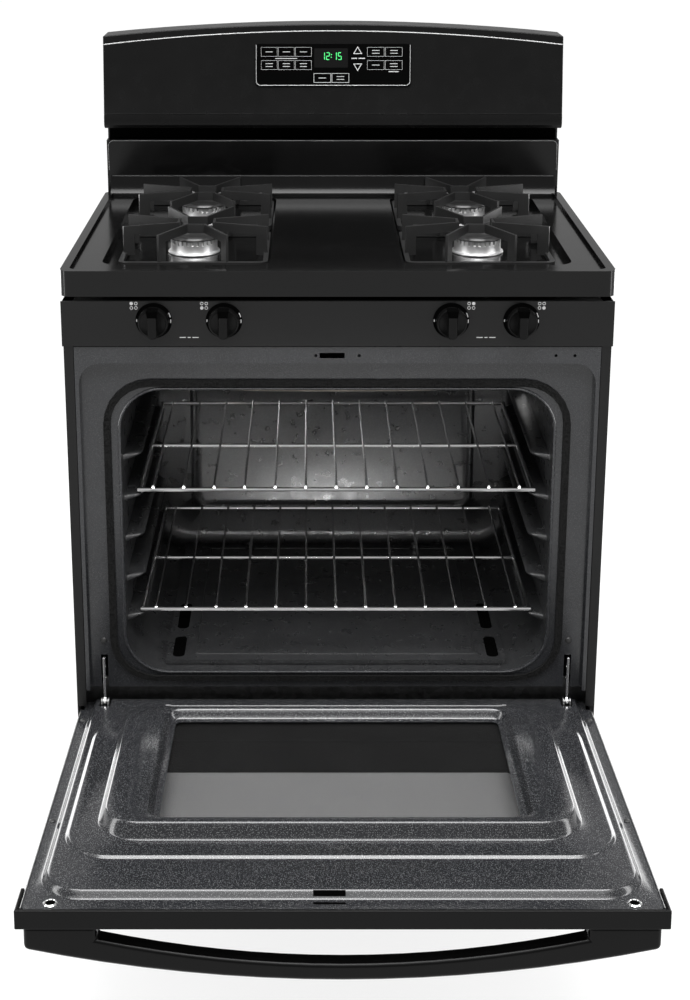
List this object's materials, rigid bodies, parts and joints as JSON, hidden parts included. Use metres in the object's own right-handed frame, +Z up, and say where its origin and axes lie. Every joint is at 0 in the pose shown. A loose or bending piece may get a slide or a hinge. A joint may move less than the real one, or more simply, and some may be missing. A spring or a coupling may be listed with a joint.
{
  "type": "freestanding gas range",
  "caption": "Freestanding gas range with sealed burners under lift-off grates, a drop-down oven door, sliding oven racks, a backguard with a touch control and a storage drawer.",
  "frame": {"origin": "bottom centre of the bounding box with the oven door open, on the floor under the levelling legs", "axes": "+Z up, -Y to the front where the door opens, +X to the right as seen from the front"},
  "size_m": [0.759, 1.1564, 1.191],
  "materials": {
    "black_paint": "satin black paint on steel",
    "black_enamel": "glossy black porcelain enamel",
    "console_plastic": "satin gloss black moulding",
    "black_plastic": "gloss black moulded plastic",
    "foot_plastic": "matt black plastic",
    "galvanised_steel": "galvanised sheet",
    "speckled_porcelain": "blue-grey porcelain enamel with fine pale speckle",
    "oven_porcelain": "dark porcelain enamel with fine pale speckle",
    "burner_steel": "aluminised steel, heat tinted",
    "lamp_glass": "ribbed clear glass",
    "seal_fibre": "braided glass fibre",
    "rack_chrome": "bright chrome-plated wire",
    "grate_enamel": "matt black porcelain",
    "burner_aluminium": "bright cast aluminium",
    "valve_brass": "machined brass",
    "stem_steel": "plated steel",
    "control_glass": "gloss black touch panel with a green clock and white line marks",
    "window_glass": "dark tinted tempered glass"
  },
  "bodies": {
    "range_body": {"side_panel_left": "black_paint", "side_panel_right": "black_paint", "control_panel": "black_paint", "cooktop": "black_enamel", "splash_panel": "black_enamel", "console_shell": "console_plastic", "cord_gland": "black_plastic", "rear_panel": "galvanised_steel", "base_frame": "galvanised_steel", "manifold_pipe": "galvanised_steel", "oven_front_frame": "speckled_porcelain", "oven_liner": "oven_porcelain", "oven_floor_panel": "oven_porcelain", "bake_burner": "burner_steel", "broil_burner": "burner_steel", "oven_lamp": "lamp_glass", "door_seal": "seal_fibre", "hinge_arm_left": "rack_chrome", "hinge_arm_right": "rack_chrome", "burner_cap_front_left": "grate_enamel", "burner_cap_front_right": "grate_enamel", "burner_cap_rear_left": "grate_enamel", "burner_cap_rear_right": "grate_enamel", "burner_head_front_left": "burner_aluminium", "burner_head_front_right": "burner_aluminium", "burner_head_rear_left": "burner_aluminium", "burner_head_rear_right": "burner_aluminium", "gas_valve_1": "valve_brass", "gas_valve_2": "valve_brass", "gas_valve_3": "valve_brass", "gas_valve_4": "valve_brass", "control_glass": "control_glass"},
    "door": {"door_skin": "black_paint", "door_liner": "speckled_porcelain", "door_cap": "black_plastic", "door_window_inner": "window_glass", "door_window_outer": "window_glass", "door_handle": "black_plastic", "hinge_body_left": "galvanised_steel", "hinge_body_right": "galvanised_steel"},
    "drawer": {"drawer_front": "black_paint", "drawer_box": "galvanised_steel"},
    "lower_rack": {"oven_rack_lower": "rack_chrome"},
    "upper_rack": {"oven_rack_upper": "rack_chrome"},
    "grate_front_left": {"grate_front_left": "grate_enamel"},
    "grate_front_right": {"grate_front_right": "grate_enamel"},
    "grate_rear_left": {"grate_rear_left": "grate_enamel"},
    "grate_rear_right": {"grate_rear_right": "grate_enamel"},
    "stem_1": {"valve_stem_1": "stem_steel"},
    "knob_1": {"knob_1": "black_plastic"},
    "stem_2": {"valve_stem_2": "stem_steel"},
    "knob_2": {"knob_2": "black_plastic"},
    "stem_3": {"valve_stem_3": "stem_steel"},
    "knob_3": {"knob_3": "black_plastic"},
    "stem_4": {"valve_stem_4": "stem_steel"},
    "knob_4": {"knob_4": "black_plastic"},
    "leg_front_left": {"leveling_leg_front_left": "foot_plastic"},
    "leg_front_right": {"leveling_leg_front_right": "foot_plastic"},
    "leg_rear_left": {"leveling_leg_rear_left": "foot_plastic"},
    "leg_rear_right": {"leveling_leg_rear_right": "foot_plastic"}
  },
  "joints": [
    {"name": "door_hinge", "type": "hinge", "parent": "range_body", "child": "door", "pos_m": [0, -0.0368, 0.2636], "axis": [-1, 0, 0], "range_deg": [0, 86.3]},
    {"name": "drawer_slide", "type": "slide", "parent": "range_body", "child": "drawer", "axis": [0, -1, 0], "range_m": [0, 0.4]},
    {"name": "lower_rack_slide", "type": "slide", "parent": "range_body", "child": "lower_rack", "axis": [0, 1, 0], "range_m": [-0.35, 0]},
    {"name": "upper_rack_slide", "type": "slide", "parent": "range_body", "child": "upper_rack", "axis": [0, 1, 0], "range_m": [-0.35, 0]},
    {"name": "grate_lift_front_left", "type": "slide", "parent": "range_body", "child": "grate_front_left", "axis": [0, 0, 1], "range_m": [0, 0.08]},
    {"name": "grate_lift_front_right", "type": "slide", "parent": "range_body", "child": "grate_front_right", "axis": [0, 0, 1], "range_m": [0, 0.08]},
    {"name": "grate_lift_rear_left", "type": "slide", "parent": "range_body", "child": "grate_rear_left", "axis": [0, 0, 1], "range_m": [0, 0.08]},
    {"name": "grate_lift_rear_right", "type": "slide", "parent": "range_body", "child": "grate_rear_right", "axis": [0, 0, 1], "range_m": [0, 0.08]},
    {"name": "knob_turn_1", "type": "hinge", "parent": "range_body", "child": "stem_1", "pos_m": [-0.2515, -0.0438, 0.845], "axis": [0, -1, 0], "range_deg": [0, 270]},
    {"name": "knob_push_1", "type": "slide", "parent": "stem_1", "child": "knob_1", "axis": [0, 1, 0], "range_m": [0, 0.0035], "stiffness_N_per_m": 400},
    {"name": "knob_turn_2", "type": "hinge", "parent": "range_body", "child": "stem_2", "pos_m": [-0.1554, -0.0438, 0.845], "axis": [0, -1, 0], "range_deg": [0, 270]},
    {"name": "knob_push_2", "type": "slide", "parent": "stem_2", "child": "knob_2", "axis": [0, 1, 0], "range_m": [0, 0.0035], "stiffness_N_per_m": 400},
    {"name": "knob_turn_3", "type": "hinge", "parent": "range_body", "child": "stem_3", "pos_m": [0.1554, -0.0438, 0.845], "axis": [0, -1, 0], "range_deg": [0, 270]},
    {"name": "knob_push_3", "type": "slide", "parent": "stem_3", "child": "knob_3", "axis": [0, 1, 0], "range_m": [0, 0.0035], "stiffness_N_per_m": 400},
    {"name": "knob_turn_4", "type": "hinge", "parent": "range_body", "child": "stem_4", "pos_m": [0.2515, -0.0438, 0.845], "axis": [0, -1, 0], "range_deg": [0, 270]},
    {"name": "knob_push_4", "type": "slide", "parent": "stem_4", "child": "knob_4", "axis": [0, 1, 0], "range_m": [0, 0.0035], "stiffness_N_per_m": 400},
    {"name": "leg_screw_front_left", "type": "slide", "parent": "range_body", "child": "leg_front_left", "axis": [0, 0, -1], "range_m": [0, 0.02]},
    {"name": "leg_screw_front_right", "type": "slide", "parent": "range_body", "child": "leg_front_right", "axis": [0, 0, -1], "range_m": [0, 0.02]},
    {"name": "leg_screw_rear_left", "type": "slide", "parent": "range_body", "child": "leg_rear_left", "axis": [0, 0, -1], "range_m": [0, 0.02]},
    {"name": "leg_screw_rear_right", "type": "slide", "parent": "range_body", "child": "leg_rear_right", "axis": [0, 0, -1], "range_m": [0, 0.02]}
  ]
}
